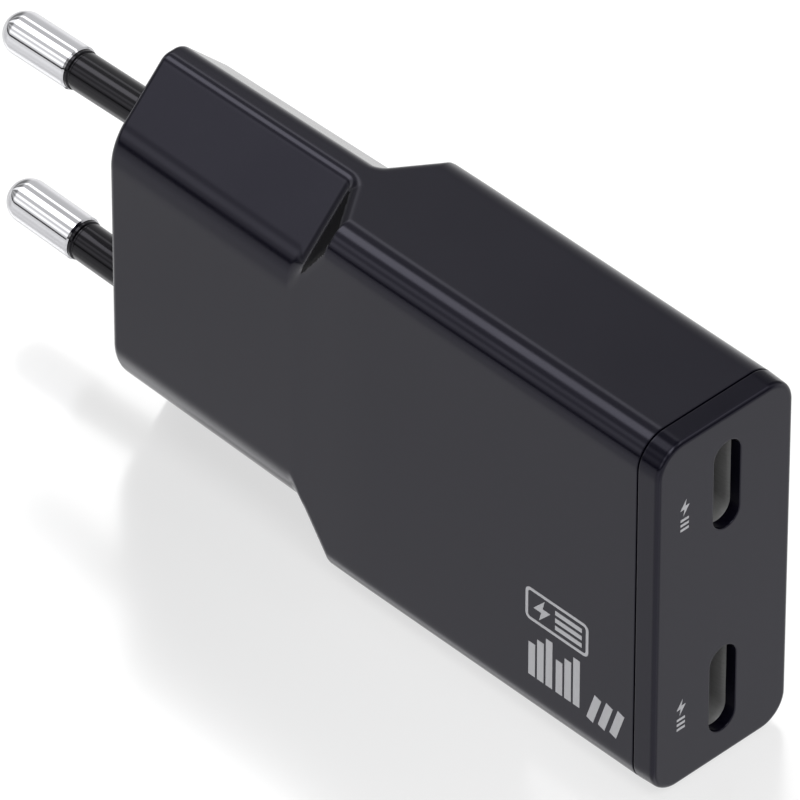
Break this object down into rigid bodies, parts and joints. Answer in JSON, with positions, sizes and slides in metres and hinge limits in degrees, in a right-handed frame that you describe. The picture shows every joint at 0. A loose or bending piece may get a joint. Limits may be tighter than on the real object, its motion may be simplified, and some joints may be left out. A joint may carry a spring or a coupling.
{
  "type": "usb wall charger",
  "caption": "Slim black wall charger with two fixed round plug pins at one end and two USB-C ports at the other.",
  "frame": {"origin": "middle of the plug face, half way between the two pins", "axes": "+X from the plug face to the port face, the pins point to -X; +Z along the pins' spacing; +Y through the body's thickness, away from the marked large face"},
  "size_m": [0.0828, 0.0152, 0.036],
  "materials": {
    "housing_plastic": "satin black, fine moulded grain",
    "carrier_plastic": "matt",
    "pin_metal": "bright nickel plate",
    "sleeve_plastic": "glossy black",
    "brass_strip": "bright",
    "circuit_board": "solder mask",
    "fuse_body": "matt ceramic",
    "blue_lacquer": "dipped lacquer",
    "film_capacitor": "moulded case",
    "ferrite": "sintered ferrite",
    "copper_wire": "enamelled copper",
    "insulated_wire": "insulated winding",
    "chip_package": "moulded epoxy",
    "pale_package": "moulded epoxy",
    "capacitor_can": "shrink sleeve",
    "bare_can": "bare can",
    "chip_ceramic": "fired ceramic",
    "port_steel": "plated steel",
    "gold_contact": "gold plate",
    "aluminium_sheet": "rolled sheet",
    "thermal_pad": "soft silicone",
    "film_plastic": "translucent film"
  },
  "bodies": {
    "root": {"main_housing": "housing_plastic", "end_cap": "housing_plastic", "pin_carrier": "carrier_plastic", "pin_upper": "pin_metal", "pin_lower": "pin_metal", "pin_sleeve_upper": "sleeve_plastic", "pin_sleeve_lower": "sleeve_plastic", "pin_terminal_upper": "brass_strip", "pin_terminal_lower": "brass_strip", "main_board": "circuit_board", "fuse": "fuse_body", "varistor": "blue_lacquer", "x_capacitor": "film_capacitor", "choke_core": "ferrite", "choke_winding_line": "copper_wire", "choke_winding_neutral": "copper_wire", "bridge_rectifier": "chip_package", "bulk_capacitor_1": "capacitor_can", "bulk_capacitor_2": "capacitor_can", "gan_switch": "chip_package", "transformer_core_front": "ferrite", "transformer_core_back": "ferrite", "transformer_bobbin": "carrier_plastic", "primary_winding": "copper_wire", "secondary_winding": "insulated_wire", "y_capacitor": "blue_lacquer", "optocoupler": "pale_package", "sync_rectifier": "chip_package", "output_capacitor_1": "bare_can", "output_capacitor_2": "bare_can", "output_choke": "ferrite", "protocol_ics": "chip_package", "chip_parts": "chip_ceramic", "usb_shell_upper": "port_steel", "usb_shell_lower": "port_steel", "usb_tongue_upper": "sleeve_plastic", "usb_tongue_lower": "sleeve_plastic", "usb_contacts_upper": "gold_contact", "usb_contacts_lower": "gold_contact", "heat_spreader_front": "aluminium_sheet", "heat_spreader_back": "aluminium_sheet", "thermal_pads": "thermal_pad", "insulation_film": "film_plastic"}
  },
  "joints": []
}
